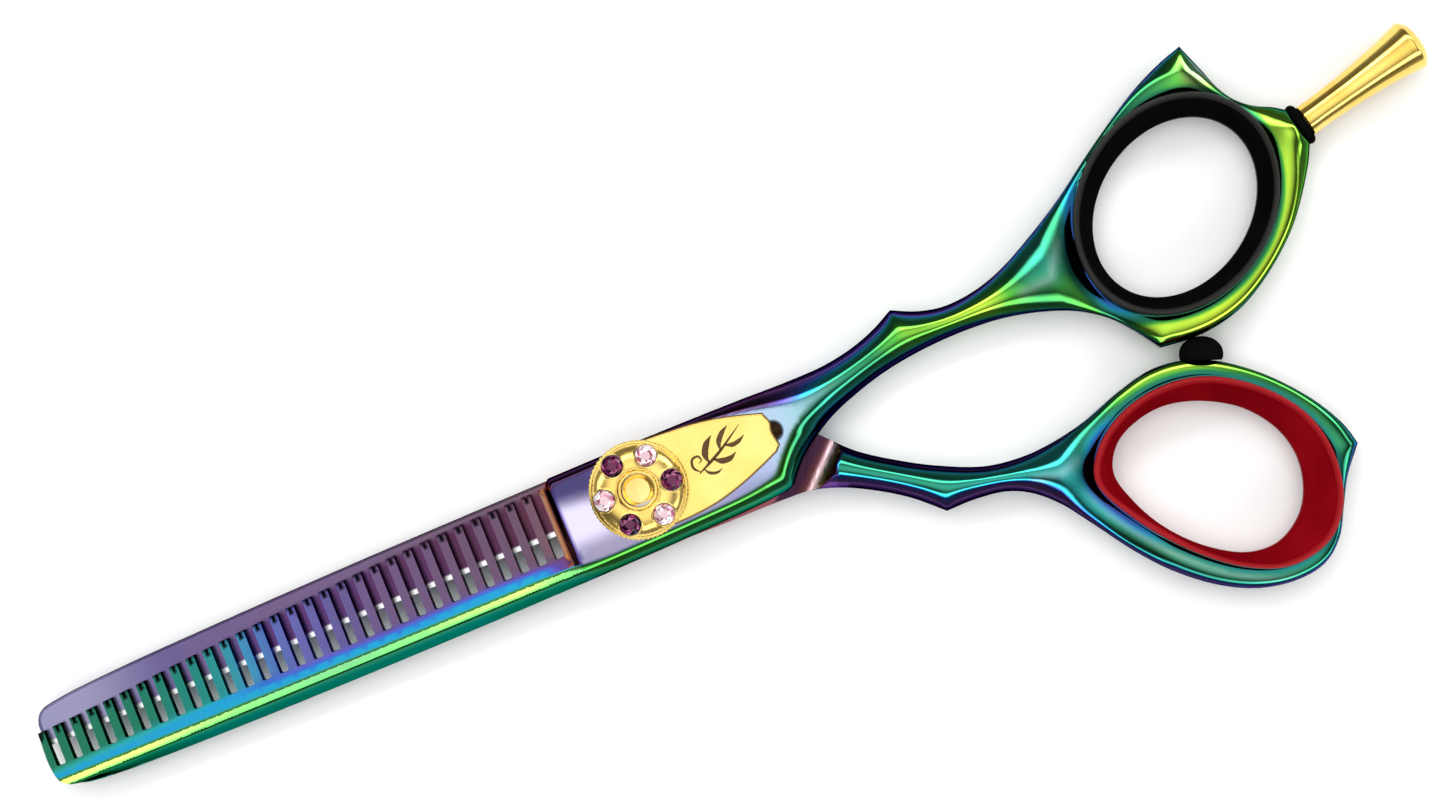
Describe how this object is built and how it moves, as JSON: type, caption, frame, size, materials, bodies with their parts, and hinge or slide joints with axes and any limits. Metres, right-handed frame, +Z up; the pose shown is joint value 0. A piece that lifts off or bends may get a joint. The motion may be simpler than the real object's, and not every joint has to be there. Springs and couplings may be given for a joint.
{
  "type": "thinning shears",
  "caption": "Hairdresser's thinning shears: a toothed blade and a plain blade on one pivot with a jewelled tension dial, soft ring inserts, a bumper and a screw-in finger rest.",
  "frame": {"origin": "on the main pivot axis, in the plane the shears lie on (the back of the pivot stud's head)", "axes": "shears lying flat and closed: +X from the blade tips towards the finger rings, +Y towards the finger ring's side, +Z up along the pivot axis, out of the tension dial"},
  "size_m": [0.1674, 0.0583, 0.0099],
  "materials": {
    "coated_steel": "mirror-polished steel with an iridescent green, blue and violet titanium coating",
    "gold_metal": "gold plated, polished and lightly brushed",
    "plate_gold": "pale gold plated, satin",
    "spring_steel": "plain ground spring steel",
    "black_rubber": "smooth semi-matt black",
    "red_rubber": "smooth semi-matt deep red",
    "nylon": "plain white nylon",
    "dark_stone": "faceted dark purple crystal",
    "pink_stone": "faceted pale pink crystal"
  },
  "bodies": {
    "straight_side": {"straight_half": "coated_steel", "thumb_ring_insert": "red_rubber", "bumper": "black_rubber", "pivot_stud": "gold_metal", "thrust_washer": "nylon", "click_washer": "spring_steel", "disc_spring": "spring_steel"},
    "comb_side": {"comb_half": "coated_steel", "finger_ring_insert": "black_rubber", "finger_rest_washer": "black_rubber", "pivot_bush": "nylon", "tension_plate": "plate_gold"},
    "dial": {"tension_dial": "gold_metal", "dark_stone_1": "dark_stone", "dark_stone_2": "dark_stone", "dark_stone_3": "dark_stone", "pink_stone_1": "pink_stone", "pink_stone_2": "pink_stone", "pink_stone_3": "pink_stone", "detent_ball_1": "spring_steel", "detent_ball_2": "spring_steel", "detent_spring_1": "spring_steel", "detent_spring_2": "spring_steel"},
    "rest": {"finger_rest": "gold_metal"}
  },
  "joints": [
    {"name": "main_pivot", "type": "hinge", "parent": "straight_side", "child": "comb_side", "pos_m": [0, 0, 0.0036], "axis": [0, 0, 1], "range_deg": [0, 90]},
    {"name": "dial_turn", "type": "hinge", "parent": "straight_side", "child": "dial", "pos_m": [0, 0, 0.0085], "axis": [0, 0, 1], "range_deg": [-180, 180]},
    {"name": "finger_rest_turn", "type": "hinge", "parent": "comb_side", "child": "rest", "pos_m": [0.08085, 0.00905, 0.0036], "axis": [0.9728, 0.2317, 0], "range_deg": [-360, 0]}
  ]
}
